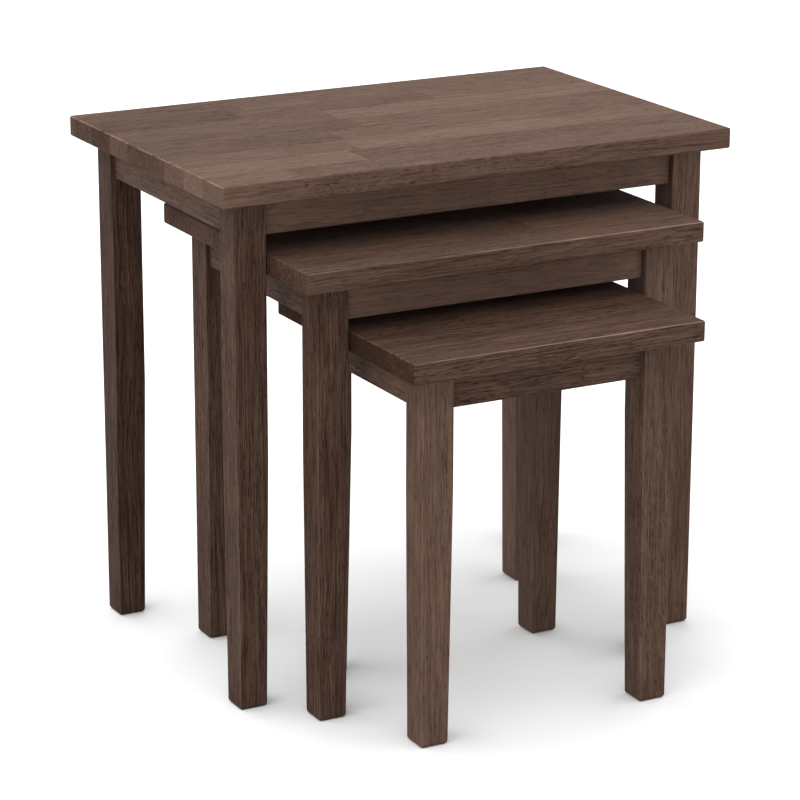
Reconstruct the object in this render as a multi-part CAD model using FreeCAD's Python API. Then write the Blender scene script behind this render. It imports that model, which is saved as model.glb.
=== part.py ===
# Nest of three solid-wood side tables, large, medium and small, standing partly drawn out of each other.
# Each table is a glued-up top on a frame of four square tapered legs and four aprons. Dowels join the frame,
# and a screwed block in each corner braces it and carries the screw that holds the top down.
#
# Frame: +X runs along the long side, the smaller tables are drawn out towards -Y, which is the front, and +Z
# is up. The origin is on the floor, at the middle of the box that the nest fills as it stands here.
# All sizes are in millimetres.
import FreeCAD, Part
import os
from collections import namedtuple

Vector = FreeCAD.Vector
X_AXIS = Vector(1, 0, 0)
Y_AXIS = Vector(0, 1, 0)
Z_AXIS = Vector(0, 0, 1)
SAME_LEVEL = 1e-6

# Large table, overall.
LARGE_WIDTH = 540.0
LARGE_DEPTH = 350.0
LARGE_HEIGHT = 510.0

# How each smaller table fits under the next larger one.
MEDIUM_SIDE_GAP = 8.0       # from each end of the medium top to the large legs, when centred
MEDIUM_TOP_GAP = 17.0       # from the medium top up to the large aprons
MEDIUM_DEPTH_STEP = 42.0    # how much less deep the medium table is than the large one
SMALL_SIDE_GAP = 6.0
SMALL_TOP_GAP = 9.0
SMALL_DEPTH_STEP = 40.0

# How the nest stands.
MEDIUM_DRAWN_OUT = 80.0     # from centred under the large table, towards the front
SMALL_DRAWN_OUT = 200.0
LEFT_LEG_GAP = 1.0          # from a smaller top's left end to the leg that it stands close to

# Tops.
TOP_THICKNESS = 20.0
TOP_EDGE_RADIUS = 2.0
TOP_OVERHANG = 20.0         # past the outer faces of the legs, all round

# Legs.
LEG_SIZE = 32.0
FOOT_SIZE = 28.0
TAPER_DROP = 74.0           # from the small table's aprons down to where every leg starts to taper
LEG_EDGE_RADIUS = 1.5       # down the corners
FOOT_EDGE_RADIUS = 3.5      # round the foot

# Aprons.
APRON_HEIGHT = 35.0
APRON_THICKNESS = 18.0
FRONT_APRON_RECESS = 8.0    # behind the legs' outer faces, at the front and at the back
SIDE_APRON_RECESS = 5.0     # the same at the two sides
APRON_EDGE_RADIUS = 1.0

# Dowels, two in each end of an apron.
DOWEL_DIAMETER = 6.0
DOWEL_CHAMFER = 0.8
DOWEL_IN_APRON = 17.0
DOWEL_WEB = 1.0             # wood left in a leg between the holes that cross
DOWEL_LEVELS = 4            # evenly spaced up an apron: long aprons use the odd ones, short ones the even ones
GLUE_GAP = 0.05             # round a dowel
GLUE_POCKET = 1.0           # past the end of a dowel

# Corner blocks.
BLOCK_HEIGHT = 25.0
BLOCK_REACH = 37.0          # along each apron, past the leg
BLOCK_TIP = 6.0             # thickness left at the end of the wing on the long apron
BLOCK_LEG_GAP = 1.0         # from the notch in the block to the leg

# Screws.
SCREW_DIAMETER = 4.0
SCREW_HEAD_DIAMETER = 8.0
SCREW_HEAD_HEIGHT = 2.5
SCREW_POINT = 4.0
SCREW_SLOT_LENGTH = 4.6
SCREW_SLOT_WIDTH = 0.9
SCREW_SLOT_DEPTH = 1.3
SCREW_GAP = 0.05            # round a shank
SCREW_END_GAP = 1.0         # past the point
SCREW_POCKET_GAP = 0.75     # round a head
BLOCK_SCREW_SEAT = 10.0     # wood under the head of a block screw
BLOCK_SCREW_BITE = 13.0     # depth in the apron
BLOCK_SCREW_INSET = 13.0    # from the end of the block's wing
TOP_SCREW_POCKET = 7.0      # depth of its head above the block's lower face
TOP_SCREW_BITE = 12.0       # depth in the top

# Levels and lines that every table shares, counted from a front left leg's outer corner.
LEG_INNER = LEG_SIZE
FRONT_APRON_INNER = FRONT_APRON_RECESS + APRON_THICKNESS
SIDE_APRON_INNER = SIDE_APRON_RECESS + APRON_THICKNESS
FRONT_APRON_LINE = FRONT_APRON_RECESS + APRON_THICKNESS / 2
SIDE_APRON_LINE = SIDE_APRON_RECESS + APRON_THICKNESS / 2
DOWEL_HOLE_RADIUS = DOWEL_DIAMETER / 2 + GLUE_GAP
DOWEL_HOLE_IN_LEG = LEG_SIZE - SIDE_APRON_LINE - DOWEL_HOLE_RADIUS - DOWEL_WEB
BLOCK_END = LEG_INNER + BLOCK_REACH
BLOCK_SCREW_LINE = BLOCK_END - BLOCK_SCREW_INSET
BLOCK_DIAGONAL = BLOCK_END + FRONT_APRON_INNER + BLOCK_TIP
BLOCK_NOTCH = LEG_INNER + BLOCK_LEG_GAP
TOP_SCREW_LINE = (2 * BLOCK_NOTCH + BLOCK_DIAGONAL) / 4
BLOCK_SCREW_LENGTH = BLOCK_SCREW_SEAT + BLOCK_SCREW_BITE
TOP_SCREW_LENGTH = BLOCK_HEIGHT - TOP_SCREW_POCKET + TOP_SCREW_BITE

Table = namedtuple("Table", "name width depth height x y")
CORNERS = ("front_left", "front_right", "back_left", "back_right")


def smaller_table(name, larger, side_gap, top_gap, depth_step, drawn_out):
    """A table that slides in under the larger one and stands close to that one's left legs."""
    opening = larger.width - 2 * TOP_OVERHANG - 2 * LEG_SIZE
    return Table(
        name,
        opening - 2 * side_gap,
        larger.depth - depth_step,
        apron_underside(larger) - top_gap,
        larger.x - side_gap + LEFT_LEG_GAP,
        -drawn_out,
    )


def apron_underside(table):
    return table.height - TOP_THICKNESS - APRON_HEIGHT


def nest():
    """The three tables, moved along Y so that the origin is at the middle of the whole nest."""
    large = Table("large", LARGE_WIDTH, LARGE_DEPTH, LARGE_HEIGHT, 0.0, 0.0)
    medium = smaller_table(
        "medium", large, MEDIUM_SIDE_GAP, MEDIUM_TOP_GAP, MEDIUM_DEPTH_STEP, MEDIUM_DRAWN_OUT
    )
    small = smaller_table(
        "small", medium, SMALL_SIDE_GAP, SMALL_TOP_GAP, SMALL_DEPTH_STEP, SMALL_DRAWN_OUT
    )
    tables = (large, medium, small)
    front = min(table.y - table.depth / 2 for table in tables)
    back = max(table.y + table.depth / 2 for table in tables)
    middle = (front + back) / 2
    return [table._replace(y=table.y - middle) for table in tables]


def box(low, high):
    """A box between two opposite corners."""
    return Part.makeBox(high[0] - low[0], high[1] - low[1], high[2] - low[2], Vector(*low))


def prism(outline, along):
    """A solid from a flat outline of points, pushed along a vector."""
    closed = outline + outline[:1]
    return Part.Face(Part.makePolygon(closed)).extrude(along)


def turned(profile):
    """A solid turned about the Z axis from (radius, height) points."""
    outline = [Vector(radius, 0, height) for radius, height in profile]
    return Part.Face(Part.makePolygon(outline + outline[:1])).revolve(Vector(), Z_AXIS, 360)


def aimed(shape, place, direction):
    """A copy of a shape made along +Z, turned to point along a direction and moved to a place."""
    aimed_shape = shape.copy()
    aimed_shape.Placement = FreeCAD.Placement(place, FreeCAD.Rotation(Z_AXIS, direction))
    return aimed_shape


def rounded(shape, radius, wanted):
    """A shape with a radius on each edge for which wanted(edge) is true."""
    return shape.makeFillet(radius, [edge for edge in shape.Edges if wanted(edge)])


def on_level(edge, level):
    return all(abs(vertex.Z - level) < SAME_LEVEL for vertex in edge.Vertexes)


def is_steep(edge):
    """Whether an edge ends higher than it starts."""
    return abs(edge.Vertexes[-1].Z - edge.Vertexes[0].Z) > SAME_LEVEL


def corner_copies(shape, table):
    """A shape made at the origin for the front left corner, at the four corners of a table, by name."""
    left = table.x - table.width / 2 + TOP_OVERHANG
    front = table.y - table.depth / 2 + TOP_OVERHANG
    placed = shape.translated(Vector(left, front, 0))
    centre = Vector(table.x, table.y, 0)
    right = placed.mirror(centre, X_AXIS)
    copies = (placed, right, placed.mirror(centre, Y_AXIS), right.mirror(centre, Y_AXIS))
    return dict(zip(CORNERS, copies))


def all_corners(shapes, table):
    """Every shape at every corner of a table, as one list."""
    return [copy for shape in shapes for copy in corner_copies(shape, table).values()]


def top(table):
    """The glued-up top, with every edge and corner rounded."""
    low = (table.x - table.width / 2, table.y - table.depth / 2, table.height - TOP_THICKNESS)
    high = (table.x + table.width / 2, table.y + table.depth / 2, table.height)
    return rounded(box(low, high), TOP_EDGE_RADIUS, lambda edge: True)


def tapered_block(height):
    """A block with one corner at the origin whose two far sides lean in to the foot."""
    outline = [(0, 0), (FOOT_SIZE, 0), (LEG_SIZE, height), (0, height), (0, 0)]
    profile = Part.Face(Part.makePolygon([Vector(x, 0, z) for x, z in outline]))
    one_way = profile.extrude(Y_AXIS * LEG_SIZE)
    return one_way.common(one_way.mirror(Vector(0, 0, 0), X_AXIS - Y_AXIS)).Solids[0]


def leg(table, taper_level):
    """A front left leg: square, with its two inner faces tapering in to the foot."""
    blunt = rounded(tapered_block(taper_level), FOOT_EDGE_RADIUS, lambda edge: on_level(edge, 0))
    eased = rounded(blunt, LEG_EDGE_RADIUS, is_steep)
    shoulder = max(eased.Faces, key=lambda face: face.CenterOfMass.z)
    straight = shoulder.extrude(Z_AXIS * (table.height - TOP_THICKNESS - taper_level))
    return eased.fuse(straight).removeSplitter().Solids[0]


def long_apron(table):
    """The front apron, between the front legs."""
    half = table.width / 2 - TOP_OVERHANG - LEG_SIZE
    outer = table.y - table.depth / 2 + TOP_OVERHANG + FRONT_APRON_RECESS
    low = (table.x - half, outer, apron_underside(table))
    high = (table.x + half, outer + APRON_THICKNESS, table.height - TOP_THICKNESS)
    return eased_apron(box(low, high), table, X_AXIS)


def short_apron(table):
    """The left apron, between the left legs."""
    half = table.depth / 2 - TOP_OVERHANG - LEG_SIZE
    outer = table.x - table.width / 2 + TOP_OVERHANG + SIDE_APRON_RECESS
    low = (outer, table.y - half, apron_underside(table))
    high = (outer + APRON_THICKNESS, table.y + half, table.height - TOP_THICKNESS)
    return eased_apron(box(low, high), table, Y_AXIS)


def eased_apron(apron, table, along):
    """An apron with its two long lower edges rounded."""
    def lower_and_long(edge):
        run = edge.Vertexes[-1].Point - edge.Vertexes[0].Point
        return on_level(edge, apron_underside(table)) and abs(run.dot(along)) > APRON_THICKNESS
    return rounded(apron, APRON_EDGE_RADIUS, lower_and_long)


def dowel_places(table):
    """Where the dowels of the front left corner cross from leg to apron: (place, direction)."""
    step = APRON_HEIGHT / (DOWEL_LEVELS + 1)
    places = []
    for number in range(1, DOWEL_LEVELS + 1):
        level = apron_underside(table) + number * step
        if number % 2:
            places.append((Vector(LEG_INNER, FRONT_APRON_LINE, level), X_AXIS))
        else:
            places.append((Vector(SIDE_APRON_LINE, LEG_INNER, level), Y_AXIS))
    return places


def dowel():
    """A dowel with chamfered ends, from inside the leg to inside the apron, crossing between them at 0."""
    radius = DOWEL_DIAMETER / 2
    start = GLUE_POCKET - DOWEL_HOLE_IN_LEG
    end = DOWEL_IN_APRON
    return turned([
        (0, start),
        (radius - DOWEL_CHAMFER, start),
        (radius, start + DOWEL_CHAMFER),
        (radius, end - DOWEL_CHAMFER),
        (radius - DOWEL_CHAMFER, end),
        (0, end),
    ])


def dowel_hole():
    """The hole for a dowel, with a pocket for glue at each end."""
    length = DOWEL_HOLE_IN_LEG + DOWEL_IN_APRON + GLUE_POCKET
    return Part.makeCylinder(DOWEL_HOLE_RADIUS, length, Vector(0, 0, -DOWEL_HOLE_IN_LEG))


def screw(length):
    """A pan-head wood screw pointing along +Z, with its head's underside at 0."""
    shank = SCREW_DIAMETER / 2
    head = SCREW_HEAD_DIAMETER / 2
    blank = turned([
        (0, -SCREW_HEAD_HEIGHT),
        (head / 2, -SCREW_HEAD_HEIGHT),
        (head, -SCREW_HEAD_HEIGHT / 2),
        (head, 0),
        (shank, 0),
        (shank, length - SCREW_POINT),
        (0, length),
    ])
    return blank.cut(cross_recess())


def cross_recess():
    """The two crossed slots for the driver in a screw's head."""
    long_half = SCREW_SLOT_LENGTH / 2
    wide_half = SCREW_SLOT_WIDTH / 2
    outer = -SCREW_HEAD_HEIGHT
    inner = outer + SCREW_SLOT_DEPTH
    one = box((-long_half, -wide_half, outer), (long_half, wide_half, inner))
    other = box((-wide_half, -long_half, outer), (wide_half, long_half, inner))
    return one.fuse(other)


def screw_hole(length, pocket):
    """The hole for a screw: a pocket of a given depth for the head, then the bore for the shank."""
    bore = Part.makeCylinder(SCREW_DIAMETER / 2 + SCREW_GAP, length + SCREW_END_GAP)
    head = SCREW_HEAD_DIAMETER / 2 + SCREW_POCKET_GAP
    return bore.fuse(Part.makeCylinder(head, pocket, Vector(0, 0, -pocket)))


def block_bottom(table):
    return table.height - TOP_THICKNESS - BLOCK_HEIGHT


def block_screw_places(table):
    """Where the heads of the front left block's two side screws seat: (place, direction)."""
    level = block_bottom(table) + BLOCK_HEIGHT / 2
    return [
        (Vector(BLOCK_SCREW_LINE, FRONT_APRON_INNER + BLOCK_SCREW_SEAT, level), -Y_AXIS),
        (Vector(SIDE_APRON_INNER + BLOCK_SCREW_SEAT, BLOCK_SCREW_LINE, level), -X_AXIS),
    ]


def top_screw_places(table):
    """Where the head of the screw up through the front left block seats: (place, direction)."""
    level = block_bottom(table) + TOP_SCREW_POCKET
    return [(Vector(TOP_SCREW_LINE, TOP_SCREW_LINE, level), Z_AXIS)]


def corner_block(table):
    """The front left block: it fills the corner between the aprons and is notched round the leg."""
    outline = [
        (BLOCK_NOTCH, FRONT_APRON_INNER),
        (BLOCK_END, FRONT_APRON_INNER),
        (BLOCK_END, BLOCK_DIAGONAL - BLOCK_END),
        (BLOCK_DIAGONAL - BLOCK_END, BLOCK_END),
        (SIDE_APRON_INNER, BLOCK_END),
        (SIDE_APRON_INNER, BLOCK_NOTCH),
        (BLOCK_NOTCH, BLOCK_NOTCH),
    ]
    level = block_bottom(table)
    return prism([Vector(along, in_, level) for along, in_ in outline], Z_AXIS * BLOCK_HEIGHT)


def repeated(shape, places, table):
    """A shape made along +Z, aimed at each place of the front left corner and copied to all four corners."""
    return all_corners([aimed(shape, place, direction) for place, direction in places], table)


def drilled(shape, holes):
    """A shape with those of the holes that reach it cut out."""
    reaching = [hole for hole in holes if hole.BoundBox.intersect(shape.BoundBox)]
    return shape.cut(reaching) if reaching else shape


def table_nodes(table, taper_level):
    """Every sub-part of one table, by node name."""
    centre = Vector(table.x, table.y, 0)
    dowels = repeated(dowel(), dowel_places(table), table)
    dowel_holes = repeated(dowel_hole(), dowel_places(table), table)
    block_screws = repeated(screw(BLOCK_SCREW_LENGTH), block_screw_places(table), table)
    block_holes = repeated(screw_hole(BLOCK_SCREW_LENGTH, BLOCK_REACH), block_screw_places(table), table)
    top_screws = repeated(screw(TOP_SCREW_LENGTH), top_screw_places(table), table)
    top_holes = repeated(screw_hole(TOP_SCREW_LENGTH, TOP_SCREW_POCKET), top_screw_places(table), table)

    nodes = {"top": drilled(top(table), top_holes)}
    for corner, shape in corner_copies(leg(table, taper_level), table).items():
        nodes["leg_" + corner] = drilled(shape, dowel_holes)
    for corner, shape in corner_copies(corner_block(table), table).items():
        nodes["corner_block_" + corner] = drilled(shape, block_holes + top_holes)
    front = long_apron(table)
    left = short_apron(table)
    aprons = {
        "front": front,
        "back": front.mirror(centre, Y_AXIS),
        "left": left,
        "right": left.mirror(centre, X_AXIS),
    }
    for side, shape in aprons.items():
        nodes["apron_" + side] = drilled(shape, dowel_holes + block_holes)
    nodes["dowels"] = Part.makeCompound(dowels)
    nodes["block_screws"] = Part.makeCompound(block_screws)
    nodes["top_screws"] = Part.makeCompound(top_screws)
    return {f"{table.name}_{part}": shape for part, shape in nodes.items()}


def main():
    os.makedirs("parts", exist_ok=True)
    tables = nest()
    taper_level = apron_underside(tables[-1]) - TAPER_DROP
    for table in tables:
        for node, shape in table_nodes(table, taper_level).items():
            shape.exportStep(os.path.join("parts", node + ".step"))
            print(f"{node}: {len(shape.Solids)} solid(s), {shape.Volume / 1000:.1f} cm3, valid {shape.isValid()}")


main()
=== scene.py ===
"""Three stained solid-wood nesting tables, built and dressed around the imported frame.

Lengths are in metres, +Z is up, and the tables face -Y and slide out that way. Every piece takes its place
and its overall size from the frame's own boxes. Tops, legs and aprons are modelled here with their boards,
tapers and eased edges. Corner blocks, dowels and screws stay the frame's own and only get their finish.
"""

import logging
import math
import random
from collections.abc import Iterable, Mapping, Sequence
from dataclasses import dataclass, field
from enum import Enum
from typing import Optional, Union

import bmesh
import bpy
from mathutils import Matrix, Quaternion, Vector


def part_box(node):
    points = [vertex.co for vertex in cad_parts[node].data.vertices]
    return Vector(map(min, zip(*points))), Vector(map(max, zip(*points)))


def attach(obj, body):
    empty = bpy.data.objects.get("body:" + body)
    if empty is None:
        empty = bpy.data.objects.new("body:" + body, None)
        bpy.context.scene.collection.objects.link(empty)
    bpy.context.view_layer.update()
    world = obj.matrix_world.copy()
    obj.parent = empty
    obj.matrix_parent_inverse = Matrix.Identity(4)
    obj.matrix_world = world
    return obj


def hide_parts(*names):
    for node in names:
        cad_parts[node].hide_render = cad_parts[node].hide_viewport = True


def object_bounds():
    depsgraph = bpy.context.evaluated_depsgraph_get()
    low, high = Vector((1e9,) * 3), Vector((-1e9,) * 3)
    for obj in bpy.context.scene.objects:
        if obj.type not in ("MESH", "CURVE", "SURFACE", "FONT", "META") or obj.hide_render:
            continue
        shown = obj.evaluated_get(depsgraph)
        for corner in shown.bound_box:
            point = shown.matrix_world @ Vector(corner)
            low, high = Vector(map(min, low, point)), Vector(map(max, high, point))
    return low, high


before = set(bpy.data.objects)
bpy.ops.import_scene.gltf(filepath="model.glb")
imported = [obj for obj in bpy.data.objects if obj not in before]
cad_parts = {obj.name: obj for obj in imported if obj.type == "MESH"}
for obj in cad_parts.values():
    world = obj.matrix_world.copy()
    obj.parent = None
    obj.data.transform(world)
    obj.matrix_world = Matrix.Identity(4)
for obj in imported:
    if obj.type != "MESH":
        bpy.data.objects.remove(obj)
CAD_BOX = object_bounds()

GRAIN_ATTRIBUTE = "grain"
STAIN_ATTRIBUTE = "stain"
FIGURE_ATTRIBUTE = "figure"
# a vertex layer: how much rubbing and painted highlight each point of a rounding gets
WEAR_AND_HIGHLIGHT_LAYER = "arris"
MIX_SHARE, MIX_FIRST, MIX_SECOND, MIX_RESULT = 0, 6, 7, 2  # a Mix node's sockets for colours
NOISE_MIDDLE = 0.5
WELD = 1e-5  # two places that are closer than this are the same
END_GRAIN_SLOPE = 0.8  # a face whose normal runs further along the grain than this is end grain
SHARP_ANGLE = math.radians(50.0)
SLANT_POWER = 6  # the higher, the narrower the rubbing and painted highlight on the middle of a rounding
LOG_SPREAD = 4.0  # the stretch of tree that every board's place is drawn from
FAINT_CURL = 0.6  # how curly the one curly leg is
TAPER_DROP = 0.074  # from the small table's front apron down to where every leg starts to taper

log = logging.getLogger("nesting_tables")

Box = tuple[Vector, Vector]
Colour = tuple[float, float, float]
Scales = tuple[float, float, float]
Span = tuple[float, float]
Entry = Union["Wire", float, Sequence[float]]


class Grain(Enum):
    """The way the fibres of a board run, as the axis order (along, across, through)."""

    ALONG_X = (0, 1, 2)
    ALONG_Y = (1, 0, 2)
    UPRIGHT = (2, 0, 1)


class Size(Enum):
    """The three tables of the nest, by the word that starts their nodes' names."""

    LARGE = "large"
    MEDIUM = "medium"
    SMALL = "small"


class Corner(Enum):
    """A corner of a table, as the name of its leg and the signs of its outward X and Y."""

    FRONT_LEFT = ("front_left", -1, -1)
    FRONT_RIGHT = ("front_right", 1, -1)
    BACK_LEFT = ("back_left", -1, 1)
    BACK_RIGHT = ("back_right", 1, 1)

    @property
    def label(self) -> str:
        """The corner's name as the nodes spell it."""
        return self.value[0]

    @property
    def outward(self) -> tuple[int, int]:
        """The signs of X and Y that point out of the table at this corner."""
        return self.value[1:]


class Side(Enum):
    """A side of a table, as the name of its apron and the way that apron's grain runs."""

    FRONT = ("front", Grain.ALONG_X)
    BACK = ("back", Grain.ALONG_X)
    LEFT = ("left", Grain.ALONG_Y)
    RIGHT = ("right", Grain.ALONG_Y)

    @property
    def label(self) -> str:
        """The side's name as the nodes spell it."""
        return self.value[0]

    @property
    def grain(self) -> Grain:
        """The way the apron's fibres run."""
        return self.value[1]


class Wire:
    """One output socket of a shader node, used as a number in Python expressions."""

    def __init__(self, recipe: "Recipe", socket: bpy.types.NodeSocket) -> None:
        """Keeps the socket and the recipe whose node tree it belongs to."""
        self.recipe = recipe
        self.socket = socket

    def __add__(self, other: Entry) -> "Wire":
        """Self plus other."""
        return self.recipe.maths("ADD", self, other)

    def __radd__(self, other: Entry) -> "Wire":
        """Other plus self."""
        return self.recipe.maths("ADD", other, self)

    def __sub__(self, other: Entry) -> "Wire":
        """Self minus other."""
        return self.recipe.maths("SUBTRACT", self, other)

    def __rsub__(self, other: Entry) -> "Wire":
        """Other minus self."""
        return self.recipe.maths("SUBTRACT", other, self)

    def __mul__(self, other: Entry) -> "Wire":
        """Self times other."""
        return self.recipe.maths("MULTIPLY", self, other)

    def __rmul__(self, other: Entry) -> "Wire":
        """Other times self."""
        return self.recipe.maths("MULTIPLY", other, self)


class Recipe:
    """A material's node tree while it is being put together."""

    def __init__(self, name: str) -> None:
        """Starts an empty material with its output node.

        Args:
            name: The material's name.
        """
        self.material = bpy.data.materials.new(name)
        self.material.use_nodes = True
        self.tree = self.material.node_tree
        self.tree.nodes.clear()
        self.output = self.tree.nodes.new("ShaderNodeOutputMaterial")

    def node(
        self,
        kind: str,
        settings: Mapping[str, object],
        entries: Mapping[Union[int, str], Entry],
        output: Union[int, str] = 0,
    ) -> Wire:
        """Adds one node.

        Args:
            kind: The node's type.
            settings: The node's own properties, set before its sockets.
            entries: What each input socket holds: a wire to link, a number, or a vector or colour.
            output: The output socket that the wire stands for.

        Returns:
            The wire of that output.
        """
        made = self.tree.nodes.new(kind)
        for name, value in settings.items():
            setattr(made, name, value)
        for name, value in entries.items():
            socket = made.inputs[name]
            if isinstance(value, Wire):
                self.tree.links.new(value.socket, socket)
            elif socket.type == "RGBA":
                socket.default_value = (*value, 1.0)
            else:
                socket.default_value = value
        return Wire(self, made.outputs[output])

    def maths(self, operation: str, *values: Entry) -> Wire:
        """One Math node of that operation over up to three values."""
        return self.node("ShaderNodeMath", {"operation": operation}, dict(enumerate(values)))

    def vector_maths(self, operation: str, *values: Entry) -> Wire:
        """One Vector Math node of that operation over up to three vectors."""
        return self.node("ShaderNodeVectorMath", {"operation": operation}, dict(enumerate(values)))

    def attribute(self, name: str, output: str = "Vector") -> Wire:
        """The vector that the mesh stores under that name, or the number with the output Fac."""
        return self.node("ShaderNodeAttribute", {"attribute_name": name}, {}, output)

    def split(self, vector: Wire) -> tuple[Wire, Wire, Wire]:
        """Takes a vector apart.

        Args:
            vector: The vector.

        Returns:
            Its three numbers.
        """
        first = self.node("ShaderNodeSeparateXYZ", {}, {0: vector})
        outputs = first.socket.node.outputs
        return first, Wire(self, outputs[1]), Wire(self, outputs[2])

    def join(self, first: Entry, second: Entry, third: Entry) -> Wire:
        """A vector of three numbers."""
        return self.node("ShaderNodeCombineXYZ", {}, {0: first, 1: second, 2: third})

    def noise(
        self, place: Wire, scales: Scales, detail: float = 1.0, rough: float = 0.5
    ) -> Wire:
        """Smooth noise about zero.

        Args:
            place: The point to read the noise at.
            scales: Noise waves in a metre along each of the three axes.
            detail: How many finer layers are added.
            rough: How strong each finer layer is beside the one before it.

        Returns:
            A number that is mostly between -0.5 and 0.5.
        """
        stretched = self.vector_maths("MULTIPLY", place, scales)
        settings = {"noise_dimensions": "3D", "normalize": True}
        entries = {"Vector": stretched, "Scale": 1.0, "Detail": detail, "Roughness": rough}
        return self.node("ShaderNodeTexNoise", settings, entries) - NOISE_MIDDLE

    def ramp(self, value: Wire, start: float, end: float) -> Wire:
        """A smooth rise from 0 to 1.

        Args:
            value: What rises.
            start: The value where the rise is at 0.
            end: The value where it reaches 1.

        Returns:
            The rise, held at 0 before the start and at 1 past the end.
        """
        settings = {"interpolation_type": "SMOOTHSTEP"}
        entries = {"Value": value, "From Min": start, "From Max": end}
        return self.node("ShaderNodeMapRange", settings, entries)

    def blend(self, share: Entry, first: Entry, second: Entry) -> Wire:
        """A colour between first and second, by share of the second."""
        entries = {MIX_SHARE: share, MIX_FIRST: first, MIX_SECOND: second}
        return self.node("ShaderNodeMix", {"data_type": "RGBA"}, entries, MIX_RESULT)

    def bump(self, height: Wire, strength: float, distance: float) -> Wire:
        """The surface's direction under a relief of that height, strength and full depth in metres."""
        entries = {"Height": height, "Strength": strength, "Distance": distance}
        return self.node("ShaderNodeBump", {}, entries, "Normal")

    def finish(self, sockets: Mapping[str, Entry]) -> bpy.types.Material:
        """Ends the recipe in one Principled shader.

        Args:
            sockets: The shader's inputs by name.

        Returns:
            The finished material.
        """
        surface = self.node("ShaderNodeBsdfPrincipled", {}, sockets)
        self.tree.links.new(surface.socket, self.output.inputs["Surface"])
        return self.material


@dataclass(frozen=True)
class StainedWood:
    """A porous hardwood under a dark grey-brown stain and a satin lacquer.

    The mesh gives each corner its place along, across and through its board, its board's tone (on a few
    boards darkened as painted shade or paled as painted light), whether the face is end grain, how much
    rubbing and painted highlight its rounded edge has, and how curly the board's fibres are.

    Lengths and widths are in metres. Each name that ends in tone, rough or height says how much that
    feature shifts the shade, the roughness or the relief, and each rise is where a feature sets in and
    where it is full.
    """

    name: str
    dark: Colour = (0.025, 0.012, 0.0075)
    light: Colour = (0.170, 0.106, 0.079)
    # pale colour of the lightened rounded edges: partly real rubbing of the stain, partly a painted
    # highlight
    wear_and_highlight: Colour = (0.30, 0.20, 0.155)
    sway_length: float = 0.3
    sway_width: float = 0.06
    sway: float = 0.02
    ripple_length: float = 0.05
    ripple_width: float = 0.03
    ripple: float = 0.004
    curl_length: float = 0.007
    curl: float = 0.005
    curl_tone: float = 0.25
    drift_through: float = 0.6
    cloud_length: float = 0.06
    cloud_width: float = 0.03
    cloud_tone: float = 0.18
    streak_length: float = 0.22
    streak_width: float = 0.009
    streak_tone: float = 0.26
    ring_width: float = 0.009
    ring_bend: float = 4.0
    ring_tone: float = 0.018
    ring_height: float = 0.03
    fibre_length: float = 0.07
    fibre_width: float = 0.0018
    fibre_tone: float = 1.1
    fibre_rough: float = 0.12
    fibre_height: float = 0.35
    pore_length: float = 0.01
    pore_width: float = 0.0009
    pore_streaks: float = 0.25
    pore_rise: Span = (0.05, 0.17)
    pore_tone: float = 0.2
    pore_rough: float = 0.16
    pore_height: float = 0.8
    middle_tone: float = 0.38
    end_contrast: float = 0.7
    # end grain is darker: partly real stain uptake, partly painted shade on the tops' shadowed ends
    end_grain_and_shade_tone: float = 0.08
    end_rough: float = 0.1
    wear_and_highlight_cloud: float = 0.5
    wear_and_highlight_rise: Span = (-0.3, 0.2)
    wear_and_highlight_share: float = 0.7
    roughness: float = 0.54
    specular: float = 0.03
    bump: float = 0.5
    relief: float = 0.00025

    def material(self) -> bpy.types.Material:
        """Builds the finish.

        Returns:
            The material, which every top, leg and apron shares.
        """
        recipe = Recipe(self.name)
        straight = recipe.attribute(GRAIN_ATTRIBUTE)
        tone, end_grain, edge_wear_and_highlight = recipe.split(recipe.attribute(STAIN_ATTRIBUTE))
        curl = recipe.attribute(FIGURE_ATTRIBUTE, "Fac")

        sway = recipe.noise(straight, self._waves(self.sway_length, self.sway_width), detail=2)
        ripple = recipe.noise(straight, self._waves(self.ripple_length, self.ripple_width), detail=1)
        waves = recipe.noise(straight, self._waves(self.curl_length, self.curl_length), detail=1)
        drift = sway * self.sway + ripple * self.ripple + curl * waves * self.curl
        bend = recipe.join(0.0, drift, drift * self.drift_through)
        place = recipe.vector_maths("ADD", straight, bend)
        across = recipe.split(place)[1]

        cloud = recipe.noise(place, self._waves(self.cloud_length, self.cloud_width), detail=2)
        turns = across * (math.tau / self.ring_width) + cloud * self.ring_bend
        rings = recipe.maths("SINE", turns)
        fibres = recipe.noise(place, self._waves(self.fibre_length, self.fibre_width), detail=3, rough=0.65)
        streaks = recipe.noise(place, self._waves(self.streak_length, self.streak_width), detail=2)
        pits = recipe.noise(place, self._waves(self.pore_length, self.pore_width), detail=1)
        pores = recipe.ramp(pits + streaks * self.pore_streaks, *self.pore_rise)
        uneven = (tone - self.middle_tone) * end_grain

        shade = (
            tone
            + uneven * self.end_contrast
            + streaks * self.streak_tone
            + fibres * self.fibre_tone
            + cloud * self.cloud_tone
            + curl * waves * self.curl_tone
            + rings * self.ring_tone
            - pores * self.pore_tone
            - end_grain * self.end_grain_and_shade_tone
        )
        stained = recipe.blend(shade, self.dark, self.light)
        # painted highlight and rubbing: the middles of the rounded edges are lightened towards the pale
        # colour
        wear_and_highlight_mask = edge_wear_and_highlight * recipe.ramp(streaks + cloud * self.wear_and_highlight_cloud, *self.wear_and_highlight_rise)
        rough = fibres * self.fibre_rough + pores * self.pore_rough + end_grain * self.end_rough
        height = fibres * self.fibre_height - pores * self.pore_height + rings * self.ring_height
        return recipe.finish(
            {
                "Base Color": recipe.blend(wear_and_highlight_mask * self.wear_and_highlight_share, stained, self.wear_and_highlight),
                "Roughness": rough + self.roughness,
                "Normal": recipe.bump(height, self.bump, self.relief),
                "Specular IOR Level": self.specular,
            }
        )

    def _waves(self, length: float, width: float) -> Scales:
        """Noise waves in a metre for a feature of that length along the grain and width across it."""
        return (1 / length, 1 / width, 1 / width)


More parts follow.
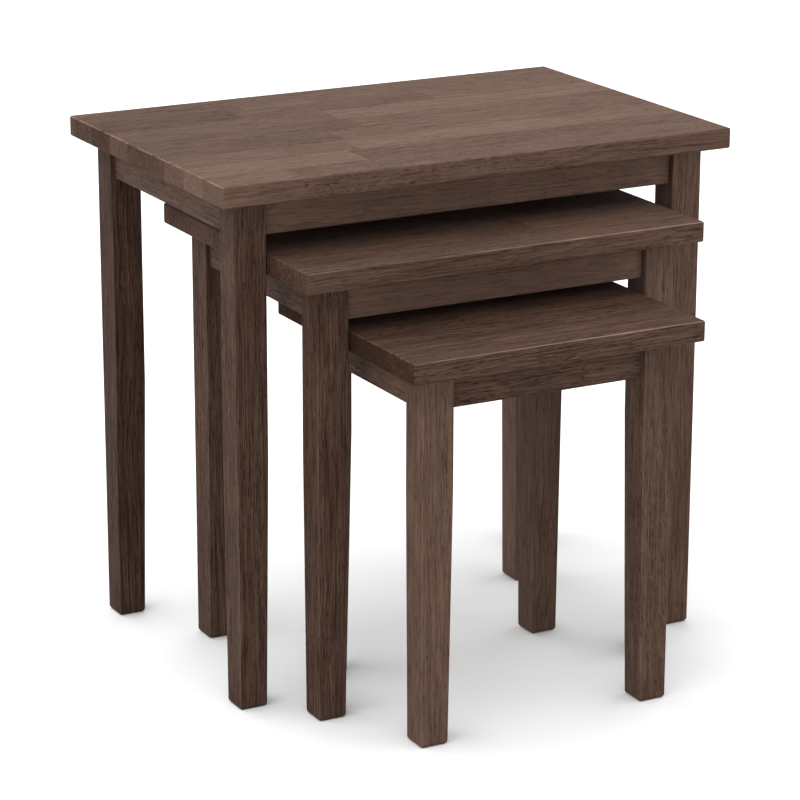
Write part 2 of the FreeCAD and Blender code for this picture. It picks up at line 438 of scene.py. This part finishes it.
@dataclass(frozen=True)
class BareWood:
    """Pale unstained hardwood, as sawn, for the pieces that nobody sees from above.

    Each waves holds a feature's noise waves in a metre along, across and through the fibres, or
    along them only for the saw marks. The other names read as those of the stained wood do.
    """

    name: str
    turn_degrees: float = 0.0
    fibre_waves: Scales = (22.0, 420.0, 520.0)
    pore_waves: Scales = (110.0, 1260.0, 1500.0)
    cloud_waves: Scales = (14.0, 40.0, 40.0)
    saw_waves: float = 2600.0
    saw_bend: float = 9.0
    dark: Colour = (0.36, 0.215, 0.115)
    light: Colour = (0.62, 0.44, 0.275)
    middle_tone: float = 0.55
    fibre_tone: float = 0.75
    cloud_tone: float = 0.5
    pore_rise: Span = (0.09, 0.2)
    pore_tone: float = 0.35
    fibre_height: float = 0.5
    saw_height: float = 0.12
    pore_height: float = 0.5
    fibre_rough: float = 0.15
    roughness: float = 0.62
    specular: float = 0.3
    bump: float = 0.6
    relief: float = 0.0002

    def material(self) -> bpy.types.Material:
        """Builds the finish on object coordinates.

        Returns:
            The material for blocks or dowels.
        """
        recipe = Recipe(self.name)
        own = recipe.node("ShaderNodeTexCoord", {}, {}, "Object")
        turn = (0.0, 0.0, math.radians(self.turn_degrees))
        place = recipe.node("ShaderNodeMapping", {}, {"Vector": own, "Rotation": turn})
        fibres = recipe.noise(place, self.fibre_waves, detail=3, rough=0.6)
        cloud = recipe.noise(place, self.cloud_waves, detail=2)
        pores = recipe.ramp(recipe.noise(place, self.pore_waves), *self.pore_rise)
        saw_turns = recipe.split(place)[0] * self.saw_waves + cloud * self.saw_bend
        saw_marks = recipe.maths("SINE", saw_turns)
        shade = (
            self.middle_tone
            + fibres * self.fibre_tone
            + cloud * self.cloud_tone
            - pores * self.pore_tone
        )
        height = fibres * self.fibre_height + saw_marks * self.saw_height - pores * self.pore_height
        return recipe.finish(
            {
                "Base Color": recipe.blend(shade, self.dark, self.light),
                "Roughness": fibres * self.fibre_rough + self.roughness,
                "Normal": recipe.bump(height, self.bump, self.relief),
                "Specular IOR Level": self.specular,
            }
        )


@dataclass(frozen=True)
class ZincSteel:
    """Bright zinc plate on the screws, a little yellowed and scuffed."""

    name: str
    bright: Colour = (0.66, 0.65, 0.62)
    yellowed: Colour = (0.58, 0.50, 0.33)
    film_waves: Scales = (160.0, 160.0, 160.0)
    film_rise: Span = (-0.2, 0.3)
    film_rough: float = 0.2
    scuff_waves: Scales = (900.0, 900.0, 4200.0)
    scuff_rough: float = 0.2
    roughness: float = 0.3
    bump: float = 0.5
    relief: float = 0.00005

    def material(self) -> bpy.types.Material:
        """Builds the finish on object coordinates.

        Returns:
            The material for every screw.
        """
        recipe = Recipe(self.name)
        place = recipe.node("ShaderNodeTexCoord", {}, {}, "Object")
        film = recipe.noise(place, self.film_waves, detail=3)
        scuffs = recipe.noise(place, self.scuff_waves, detail=2)
        yellow = recipe.ramp(film, *self.film_rise)
        return recipe.finish(
            {
                "Base Color": recipe.blend(yellow, self.bright, self.yellowed),
                "Metallic": 1.0,
                "Roughness": film * self.film_rough + scuffs * self.scuff_rough + self.roughness,
                "Normal": recipe.bump(scuffs, self.bump, self.relief),
            }
        )


@dataclass(frozen=True)
class StudioPaper:
    """The plain pale matt surface that the tables stand on."""

    name: str
    shade: Colour = (0.72, 0.72, 0.722)
    roughness: float = 0.9
    specular: float = 0.0

    def material(self) -> bpy.types.Material:
        """Builds the plain finish.

        Returns:
            The floor's material.
        """
        sockets = {
            "Base Color": self.shade,
            "Roughness": self.roughness,
            "Specular IOR Level": self.specular,
        }
        return Recipe(self.name).finish(sockets)


@dataclass(frozen=True)
class Board:
    """One board of wood: how its fibres run, how pale it is, its own place in the tree, and how curly."""

    grain: Grain
    tone: float
    log_place: Vector
    curl: float

    def mark(self, bm: bmesh.types.BMesh, faces: Iterable[bmesh.types.BMFace]) -> None:
        """Writes the board's grain and stain on those faces' corners.

        Args:
            bm: The mesh that the faces are part of.
            faces: The faces that belong to this board.
        """
        grain = bm.loops.layers.float_vector[GRAIN_ATTRIBUTE]
        stain = bm.loops.layers.float_vector[STAIN_ATTRIBUTE]
        figure = bm.loops.layers.float[FIGURE_ATTRIBUTE]
        arris = bm.verts.layers.float[WEAR_AND_HIGHLIGHT_LAYER]
        order = self.grain.value
        for face in faces:
            end_grain = float(abs(face.normal[order[0]]) > END_GRAIN_SLOPE)
            for loop in face.loops:
                here = Vector(loop.vert.co[axis] for axis in order)
                loop[grain] = here + self.log_place
                # the third number is the point's share of rubbing and painted highlight
                loop[stain] = (self.tone, end_grain, loop.vert[arris])
                loop[figure] = self.curl


class Timber:
    """A rack of boards, each with its own seeded place in the tree."""

    def __init__(self, seed: int) -> None:
        """Starts the rack's own random draws."""
        self.draw = random.Random(seed)

    def board(self, grain: Grain, tone: float, curl: float = 0.0) -> Board:
        """Takes one board with that grain, tone and curl."""
        place = Vector(self.draw.uniform(0.0, LOG_SPREAD) for _ in range(3))
        return Board(grain, tone, place, curl)

    def tone(self, middle: float, spread: float) -> float:
        """A board's tone, drawn evenly within spread of the middle."""
        return middle + self.draw.uniform(-spread, spread)


@dataclass(frozen=True)
class Strip:
    """One strip of an edge-glued top: where its boards butt, as shares of its length, and their tones.

    Curly is the number of the board with curly fibres, counted from the left, if there is one.
    """

    joints: tuple[float, ...]
    tones: tuple[float, ...]
    curly: Optional[int] = None


def block_mesh(low: Vector, high: Vector) -> bmesh.types.BMesh:
    """Starts a piece as a square-edged block.

    Args:
        low: The block's lowest corner.
        high: The block's highest corner.

    Returns:
        The mesh, with its grain and stain layers ready.
    """
    bm = bmesh.new()
    bm.loops.layers.float_vector.new(GRAIN_ATTRIBUTE)
    bm.loops.layers.float_vector.new(STAIN_ATTRIBUTE)
    bm.loops.layers.float.new(FIGURE_ATTRIBUTE)
    bm.verts.layers.float.new(WEAR_AND_HIGHLIGHT_LAYER)
    size = Matrix.Diagonal((*(high - low), 1.0))
    bmesh.ops.create_cube(bm, size=1.0, matrix=Matrix.Translation((low + high) / 2) @ size)
    return bm


def ease(bm: bmesh.types.BMesh, edges: Sequence[bmesh.types.BMEdge], radius: float, steps: int) -> None:
    """Rounds those edges.

    Args:
        bm: The mesh.
        edges: The edges to round.
        radius: The rounding's radius.
        steps: How many faces each rounding is made of.
    """
    bmesh.ops.bevel(
        bm,
        geom=edges,
        offset=radius,
        offset_type="OFFSET",
        affect="EDGES",
        segments=steps,
        profile=0.5,
        material=-1,
    )


def slant(normal: Vector, first: int, second: int) -> float:
    """How evenly a normal leans between two axes: 1 in the middle of a rounding, and falling fast."""
    return (2.0 * abs(normal[first] * normal[second])) ** SLANT_POWER


def cut(bm: bmesh.types.BMesh, faces: Sequence[bmesh.types.BMFace], place: Vector, normal: Vector) -> None:
    """Cuts faces along a plane and keeps both halves.

    Args:
        bm: The mesh.
        faces: The faces to cut.
        place: A point of the plane.
        normal: The plane's normal.
    """
    edges = {edge for face in faces for edge in face.edges}
    verts = {vert for face in faces for vert in face.verts}
    geometry = [*verts, *edges, *faces]
    bmesh.ops.bisect_plane(bm, geom=geometry, dist=WELD, plane_co=place, plane_no=normal)


def finish_piece(bm: bmesh.types.BMesh, name: str, material: bpy.types.Material) -> bpy.types.Object:
    """Turns a finished mesh into a piece at the origin.

    Args:
        bm: The mesh, which is used up.
        name: The piece's name.
        material: Its finish.

    Returns:
        The new object, smooth shaded with its flats kept flat.
    """
    for face in bm.faces:
        face.smooth = True
    for edge in bm.edges:
        edge.smooth = edge.calc_face_angle(0.0) < SHARP_ANGLE
    bm.verts.layers.float.remove(bm.verts.layers.float[WEAR_AND_HIGHLIGHT_LAYER])
    mesh = bpy.data.meshes.new(name)
    bm.to_mesh(mesh)
    bm.free()
    mesh.materials.append(material)
    piece = bpy.data.objects.new(name, mesh)
    bpy.context.scene.collection.objects.link(piece)
    shading = piece.modifiers.new("flat_faces", "WEIGHTED_NORMAL")
    shading.keep_sharp = True
    return piece


@dataclass
class TableTop:
    """An edge-glued panel of strips, each of boards butted end to end, with every outer edge rounded."""

    name: str
    strips: Sequence[Strip]
    strip_width: float
    # how strongly the upper front and upper left roundings are lightened: partly real rubbing, partly a
    # painted highlight line
    front_wear: float
    left_wear: float
    edge_radius: float = 0.002
    edge_steps: int = 4
    drawn_joint: Span = (0.25, 0.75)
    drawn_spread: float = 0.04

    def build(self, box: Box, timber: Timber, material: bpy.types.Material) -> bpy.types.Object:
        """Models the top inside its box.

        Args:
            box: The lowest and highest corner of the top in the frame.
            timber: Where its boards come from.
            material: Its finish.

        Returns:
            The top as one piece.
        """
        low, high = box
        bm = block_mesh(low, high)
        ease(bm, bm.edges[:], self.edge_radius, self.edge_steps)
        self._wear(bm)
        front = low.y
        for number in range(math.ceil((high.y - low.y) / self.strip_width)):
            back = front + self.strip_width
            cut(bm, bm.faces[:], Vector((0.0, back, 0.0)), Vector((0.0, 1.0, 0.0)))
            self._lay(bm, (front, back), (low.x, high.x), self._strip(number, timber), timber)
            front = back
        return finish_piece(bm, self.name, material)

    def _wear(self, bm: bmesh.types.BMesh) -> None:
        """Notes how much rubbing and painted highlight the middles of the upper front and upper left
        roundings get.

        Args:
            bm: The top's mesh, just rounded.
        """
        arris = bm.verts.layers.float[WEAR_AND_HIGHLIGHT_LAYER]
        bm.normal_update()
        for vert in bm.verts:
            if vert.normal.z > WELD:
                front = self.front_wear * slant(vert.normal, 1, 2) * (vert.normal.y < 0.0)
                left = self.left_wear * slant(vert.normal, 0, 2) * (vert.normal.x < 0.0)
                vert[arris] = max(front, left)

    def _strip(self, number: int, timber: Timber) -> Strip:
        """Picks a strip.

        Args:
            number: Its number from the front.
            timber: Where the draws come from.

        Returns:
            The chosen strip of that number, or past them one drawn near the last chosen tone.
        """
        if number < len(self.strips):
            return self.strips[number]
        joint = timber.draw.uniform(*self.drawn_joint)
        middle = self.strips[-1].tones[-1]
        return Strip((joint,), tuple(timber.tone(middle, self.drawn_spread) for _ in range(2)))

    def _lay(
        self,
        bm: bmesh.types.BMesh,
        depth: Span,
        length: Span,
        strip: Strip,
        timber: Timber,
    ) -> None:
        """Cuts one strip into its boards and marks each of them.

        Args:
            bm: The top's mesh, already cut along the strip's back.
            depth: The strip's front and back.
            length: The top's left and right end.
            strip: The strip's joints and tones.
            timber: Where its boards come from.
        """
        left, right = length
        ends = [left + share * (right - left) for share in strip.joints]
        for end in ends:
            own = faces_between(bm, 1, depth)
            cut(bm, own, Vector((end, 0.0, 0.0)), Vector((1.0, 0.0, 0.0)))
        starts = [left, *ends]
        ends = [*ends, right]
        own = faces_between(bm, 1, depth)
        for number, (start, end, tone) in enumerate(zip(starts, ends, strip.tones, strict=True)):
            board = timber.board(Grain.ALONG_X, tone, float(number == strip.curly))
            board.mark(bm, [face for face in own if start <= face.calc_center_median().x <= end])


def faces_between(bm: bmesh.types.BMesh, axis: int, limits: Span) -> list[bmesh.types.BMFace]:
    """The faces whose middles lie between those limits along an axis."""
    return [face for face in bm.faces if limits[0] <= face.calc_center_median()[axis] <= limits[1]]


@dataclass
class TaperedLeg:
    """A square leg whose two inner faces taper to the foot, with rounded arrises and foot."""

    name: str
    corner: Corner
    tone: float
    curl: float
    taper_start: float
    foot_size: float = 0.028
    foot_radius: float = 0.0035
    foot_steps: int = 6
    arris_radius: float = 0.0015
    arris_steps: int = 4
    # how strongly the upright roundings are lightened: partly real rubbing, partly a painted highlight line
    arris_wear: float = 0.3

    def build(self, box: Box, timber: Timber, material: bpy.types.Material) -> bpy.types.Object:
        """Models the leg inside its box.

        Args:
            box: The lowest and highest corner of the leg in the frame.
            timber: Where its board comes from.
            material: Its finish.

        Returns:
            The leg as one piece.
        """
        low, high = box
        bm = block_mesh(low, high)
        cut(bm, bm.faces[:], Vector((0.0, 0.0, self.taper_start)), Vector((0.0, 0.0, 1.0)))
        middle = (low + high) / 2
        taper = high.x - low.x - self.foot_size
        foot = [vert for vert in bm.verts if vert.co.z < low.z + WELD]
        for axis, outward in enumerate(self.corner.outward):
            inner = [vert for vert in foot if (vert.co[axis] - middle[axis]) * outward < 0.0]
            step = Vector((0.0, 0.0, 0.0))
            step[axis] = taper * outward
            bmesh.ops.translate(bm, verts=inner, vec=step)
        sole = [edge for edge in bm.edges if is_level(edge, low.z)]
        ease(bm, sole, self.foot_radius, self.foot_steps)
        arrises = [edge for edge in bm.edges if self._is_arris(edge)]
        ease(bm, arrises, self.arris_radius, self.arris_steps)
        self._wear(bm)
        timber.board(Grain.UPRIGHT, self.tone, self.curl).mark(bm, bm.faces)
        return finish_piece(bm, self.name, material)

    def _wear(self, bm: bmesh.types.BMesh) -> None:
        """Notes how much rubbing and painted highlight the middles of the upright roundings get.

        Args:
            bm: The leg's mesh, just rounded.
        """
        arris = bm.verts.layers.float[WEAR_AND_HIGHLIGHT_LAYER]
        bm.normal_update()
        for vert in bm.verts:
            vert[arris] = self.arris_wear * slant(vert.normal, 0, 1)

    def _is_arris(self, edge: bmesh.types.BMEdge) -> bool:
        """Whether an edge runs down a corner of the leg, its rounded foot included."""
        first, second = (vert.co.z for vert in edge.verts)
        return abs(first - second) > WELD and edge.calc_face_angle(0.0) > SHARP_ANGLE


def is_level(edge: bmesh.types.BMEdge, level: float) -> bool:
    """Whether an edge lies flat at that level."""
    return all(abs(vert.co.z - level) < WELD for vert in edge.verts)


@dataclass
class Apron:
    """A rail under a side of the top, with its two lower long edges just broken."""

    name: str
    side: Side
    tones: Sequence[float]
    joints: Sequence[float] = ()
    edge_radius: float = 0.001
    edge_steps: int = 3

    def build(self, box: Box, timber: Timber, material: bpy.types.Material) -> bpy.types.Object:
        """Models the apron inside its box.

        Args:
            box: The lowest and highest corner of the apron in the frame.
            timber: Where its boards come from.
            material: Its finish.

        Returns:
            The apron as one piece.
        """
        low, high = box
        axis = self.side.grain.value[0]
        bm = block_mesh(low, high)
        lower = [
            edge
            for edge in bm.edges
            if is_level(edge, low.z)
            and abs(edge.verts[0].co[axis] - edge.verts[1].co[axis]) > WELD
        ]
        ease(bm, lower, self.edge_radius, self.edge_steps)
        length = high[axis] - low[axis]
        places = [low[axis], *(low[axis] + share * length for share in self.joints), high[axis]]
        normal = Vector((0.0, 0.0, 0.0))
        normal[axis] = 1.0
        for place in places[1:-1]:
            cut(bm, bm.faces[:], normal * place, normal)
        for start, end, tone in zip(places[:-1], places[1:], self.tones, strict=True):
            timber.board(self.side.grain, tone).mark(bm, faces_between(bm, axis, (start, end)))
        return finish_piece(bm, self.name, material)


@dataclass
class Finishes:
    """The materials of the whole nest, each made once."""

    stained: bpy.types.Material = field(default_factory=StainedWood("stained_wood").material)
    rising_block: bpy.types.Material = field(default_factory=BareWood("bare_block_rising", -45.0).material)
    falling_block: bpy.types.Material = field(default_factory=BareWood("bare_block_falling", 45.0).material)
    dowel: bpy.types.Material = field(
        default_factory=BareWood(
            "bare_dowel", fibre_waves=(60.0, 60.0, 520.0), pore_waves=(300.0, 180.0, 1500.0)
        ).material
    )
    zinc: bpy.types.Material = field(default_factory=ZincSteel("zinc_steel").material)


@dataclass
class SideTable:
    """One table of the nest: its top, legs and aprons are built here, and its hidden joinery is dressed."""

    size: Size
    strips: Sequence[Strip]
    seed: int
    # leg and apron tones: the large back-left leg is darkened as painted shade, the large and medium front
    # aprons are paler as painted light, the rest are the boards' own
    leg_tones: Mapping[Corner, float]
    apron_tones: Mapping[Side, Sequence[float]]
    apron_joints: Mapping[Side, Sequence[float]] = field(default_factory=dict)
    strip_width: float = 0.042
    # how strongly the upper front and upper left roundings are lightened: partly real rubbing, partly a
    # painted highlight line
    front_wear: float = 0.0
    left_wear: float = 0.0
    curly_leg: Optional[Corner] = None

    @property
    def body(self) -> str:
        """The frame's body that the table's pieces ride on."""
        return f"{self.size.value}_table"

    def build(self, finishes: Finishes) -> list[bpy.types.Object]:
        """Builds and dresses the whole table.

        Args:
            finishes: The nest's materials.

        Returns:
            The new pieces, top first.
        """
        timber = Timber(self.seed)
        pieces = [self._top(timber, finishes.stained)]
        pieces += [self._leg(corner, timber, finishes.stained) for corner in Corner]
        pieces += [self._apron(side, timber, finishes.stained) for side in Side]
        self._dress_joinery(finishes)
        return pieces

    def _top(self, timber: Timber, material: bpy.types.Material) -> bpy.types.Object:
        """Builds the top and puts it in place of its node.

        Args:
            timber: Where its boards come from.
            material: Its finish.

        Returns:
            The placed top.
        """
        node = self._node("top")
        panel = TableTop(f"{node}_panel", self.strips, self.strip_width, self.front_wear, self.left_wear)
        return self._place(panel.build(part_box(node), timber, material), node)

    def _leg(self, corner: Corner, timber: Timber, material: bpy.types.Material) -> bpy.types.Object:
        """Builds one leg and puts it in place of its node.

        Args:
            corner: The corner that it stands at.
            timber: Where its board comes from.
            material: Its finish.

        Returns:
            The placed leg.
        """
        node = self._node(f"leg_{corner.label}")
        tone = self.leg_tones[corner]
        curl = FAINT_CURL * (corner is self.curly_leg)
        taper_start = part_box("small_apron_front")[0].z - TAPER_DROP
        post = TaperedLeg(f"{node}_post", corner, tone, curl, taper_start)
        return self._place(post.build(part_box(node), timber, material), node)

    def _apron(self, side: Side, timber: Timber, material: bpy.types.Material) -> bpy.types.Object:
        """Builds one apron and puts it in place of its node.

        Args:
            side: The side that it runs along.
            timber: Where its boards come from.
            material: Its finish.

        Returns:
            The placed apron.
        """
        node = self._node(f"apron_{side.label}")
        joints = self.apron_joints.get(side, ())
        rail = Apron(f"{node}_rail", side, self.apron_tones[side], joints)
        return self._place(rail.build(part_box(node), timber, material), node)

    def _place(self, piece: bpy.types.Object, node: str) -> bpy.types.Object:
        """Rides a piece on this table's body, in place of its node.

        Args:
            piece: The new piece.
            node: The frame's node that it stands for.

        Returns:
            The same piece.
        """
        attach(piece, self.body)
        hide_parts(node)
        log.info("%s stands for %s with %d faces", piece.name, node, len(piece.data.polygons))
        return piece

    def _dress_joinery(self, finishes: Finishes) -> None:
        """Gives the table's corner blocks, dowels and screws their finishes.

        Args:
            finishes: The nest's materials.
        """
        for corner in Corner:
            x, y = corner.outward
            block_wood = finishes.rising_block if x != y else finishes.falling_block
            self._dress(f"corner_block_{corner.label}", block_wood)
        self._dress("dowels", finishes.dowel)
        self._dress("block_screws", finishes.zinc)
        self._dress("top_screws", finishes.zinc)

    def _dress(self, part: str, material: bpy.types.Material) -> None:
        """Gives one of the frame's own nodes its finish.

        Args:
            part: The node's name without the table's word.
            material: The finish.
        """
        node = self._node(part)
        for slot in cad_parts[node].material_slots:
            slot.material = material
        log.info("%s wears %s", node, material.name)

    def _node(self, part: str) -> str:
        """The full node name of one of this table's parts."""
        return f"{self.size.value}_{part}"


@dataclass
class Studio:
    """A plain pale floor under a white sky, with a wide soft key light above and to the left."""

    floor_radius: float = 14.0
    floor_sides: int = 96
    sky: float = 0.77
    key_strength: float = 3.9
    key_spread_degrees: float = 100.0
    key_tilt_degrees: Span = (-8.0, -8.0)
    fill_strength: float = 0.75
    fill_spread_degrees: float = 80.0
    fill_tilt_degrees: Span = (45.0, -68.0)

    def build(self) -> None:
        """Lays the floor, whitens the sky and hangs the lights."""
        self._floor()
        self._sky()
        self._light("key", self.key_strength, self.key_spread_degrees, self.key_tilt_degrees)
        self._light("fill", self.fill_strength, self.fill_spread_degrees, self.fill_tilt_degrees)
        bpy.context.scene.view_settings.view_transform = "Standard"
        log.info("studio: floor of radius %.0f m under a key of %.1f", self.floor_radius, self.key_strength)

    def _floor(self) -> None:
        """Lays a round sheet of paper at the height of the feet."""
        bm = bmesh.new()
        bmesh.ops.create_circle(bm, cap_ends=True, radius=self.floor_radius, segments=self.floor_sides)
        bmesh.ops.translate(bm, verts=bm.verts, vec=(0.0, 0.0, CAD_BOX[0].z))
        mesh = bpy.data.meshes.new("studio_floor")
        bm.to_mesh(mesh)
        bm.free()
        mesh.materials.append(StudioPaper("studio_paper").material())
        floor = bpy.data.objects.new("studio_floor", mesh)
        bpy.context.scene.collection.objects.link(floor)

    def _sky(self) -> None:
        """Makes an even white sky."""
        world = bpy.data.worlds.new("studio_sky")
        world.use_nodes = True
        background = world.node_tree.nodes["Background"]
        background.inputs["Color"].default_value = (1.0, 1.0, 1.0, 1.0)
        background.inputs["Strength"].default_value = self.sky
        bpy.context.scene.world = world

    def _light(self, name: str, strength: float, spread: float, tilt: Span) -> None:
        """Hangs one far, wide light.

        Args:
            name: The light's name.
            strength: Its strength as a sun lamp.
            spread: The angle that it fills in the sky, in degrees.
            tilt: Its turns about X and then Y from straight overhead, in degrees.
        """
        lamp = bpy.data.lights.new(name, "SUN")
        lamp.energy = strength
        lamp.angle = math.radians(spread)
        light = bpy.data.objects.new(name, lamp)
        light.rotation_euler = (math.radians(tilt[0]), math.radians(tilt[1]), 0.0)
        bpy.context.scene.collection.objects.link(light)


@dataclass
class Viewpoint:
    """The camera, aimed at a point of the large table from the front left and a little above."""

    azimuth_degrees: float = -28.467
    elevation_degrees: float = 17.071
    roll_degrees: float = 0.138
    distance: float = 3.1533
    focal_length: float = 142.5
    sensor_width: float = 36.0
    aim: tuple[float, float, float] = (0.0033, 0.0, 0.2272)

    def build(self) -> None:
        """Places the camera and makes it the scene's own."""
        lens = bpy.data.cameras.new("camera")
        lens.lens = self.focal_length
        lens.sensor_width = self.sensor_width
        camera = bpy.data.objects.new("camera", lens)
        around = math.radians(self.azimuth_degrees)
        above = math.radians(self.elevation_degrees)
        back = Vector(
            (math.sin(around) * math.cos(above), -math.cos(around) * math.cos(above), math.sin(above))
        )
        low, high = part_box("large_top")
        aim = Vector(((low.x + high.x) / 2, (low.y + high.y) / 2, CAD_BOX[0].z)) + Vector(self.aim)
        camera.location = aim + back * self.distance
        camera.rotation_mode = "QUATERNION"
        roll = Quaternion((0.0, 0.0, 1.0), math.radians(self.roll_degrees))
        camera.rotation_quaternion = (-back).to_track_quat("-Z", "Y") @ roll
        bpy.context.scene.collection.objects.link(camera)
        bpy.context.scene.camera = camera
        log.info("camera: %.1f m away, %.0f degrees up", self.distance, self.elevation_degrees)


def nest() -> list[SideTable]:
    """Chooses the boards of the whole nest.

    Returns:
        The three tables, with their tops' strips and the tones of their legs and aprons.
    """
    large = SideTable(
        Size.LARGE,
        [
            Strip((0.15, 0.57), (0.48, 0.41, 0.44), curly=1),
            Strip((0.31,), (0.56, 0.38)),
            Strip((0.34, 0.78), (0.45, 0.57, 0.51)),
            Strip((0.35,), (0.35, 0.46)),
            Strip((0.43,), (0.34, 0.44)),
            Strip((0.42,), (0.41, 0.56)),
            Strip((0.27, 0.66), (0.29, 0.39, 0.46)),
            Strip((0.30,), (0.32, 0.43)),
            Strip((0.55,), (0.39, 0.44)),
        ],
        11,
        {
            Corner.FRONT_LEFT: 0.21,
            Corner.FRONT_RIGHT: 0.40,
            # painted shade: this back leg is darkened for the shade under the large top
            Corner.BACK_LEFT: 0.15,
            Corner.BACK_RIGHT: 0.38,
        },
        # painted light: the front apron is paler than the others to stand for light reaching it under the
        # top's overhang
        {Side.FRONT: (0.60,), Side.BACK: (0.36,), Side.LEFT: (0.39,), Side.RIGHT: (0.38,)},
        # rubbing and a painted highlight line along the top's upper left edge
        left_wear=1.0,
    )
    medium = SideTable(
        Size.MEDIUM,
        [Strip((0.55,), (0.33, 0.36)), Strip((0.63,), (0.33, 0.43)), Strip((0.4,), (0.34, 0.38))],
        23,
        {
            Corner.FRONT_LEFT: 0.22,
            Corner.FRONT_RIGHT: 0.50,
            Corner.BACK_LEFT: 0.28,
            Corner.BACK_RIGHT: 0.60,
        },
        # painted light: the front apron is much paler than the others to stand for light reaching it under
        # the top's overhang
        {Side.FRONT: (0.74,), Side.BACK: (0.36,), Side.LEFT: (0.36,), Side.RIGHT: (0.36,)},
        strip_width=0.049,
        # rubbing and a painted highlight line along the top's upper front edge
        front_wear=1.0,
        left_wear=0.15,
    )
    small = SideTable(
        Size.SMALL,
        # painted shade: the small top's boards are darkened for the shade that the medium table casts on
        # it, its left end included
        [Strip((), (0.24,)), Strip((0.62,), (0.19, 0.2)), Strip((0.36,), (0.18, 0.22))],
        37,
        {
            Corner.FRONT_LEFT: 0.45,
            Corner.FRONT_RIGHT: 0.35,
            Corner.BACK_LEFT: 0.38,
            Corner.BACK_RIGHT: 0.42,
        },
        {Side.FRONT: (0.23, 0.27), Side.BACK: (0.36,), Side.LEFT: (0.46,), Side.RIGHT: (0.36,)},
        {Side.FRONT: (0.7,)},
        strip_width=0.047,
        # rubbing and a painted highlight line along the top's upper front edge
        front_wear=1.0,
        left_wear=0.25,
        curly_leg=Corner.FRONT_RIGHT,
    )
    return [large, medium, small]


def main() -> None:
    """Builds the nest and its studio."""
    logging.basicConfig(level=logging.INFO, format="%(name)s: %(message)s")
    Viewpoint().build()
    Studio().build()
    finishes = Finishes()
    for table in nest():
        pieces = table.build(finishes)
        log.info("%s table: %d new pieces", table.size.value, len(pieces))


if __name__ == "__main__":
    main()
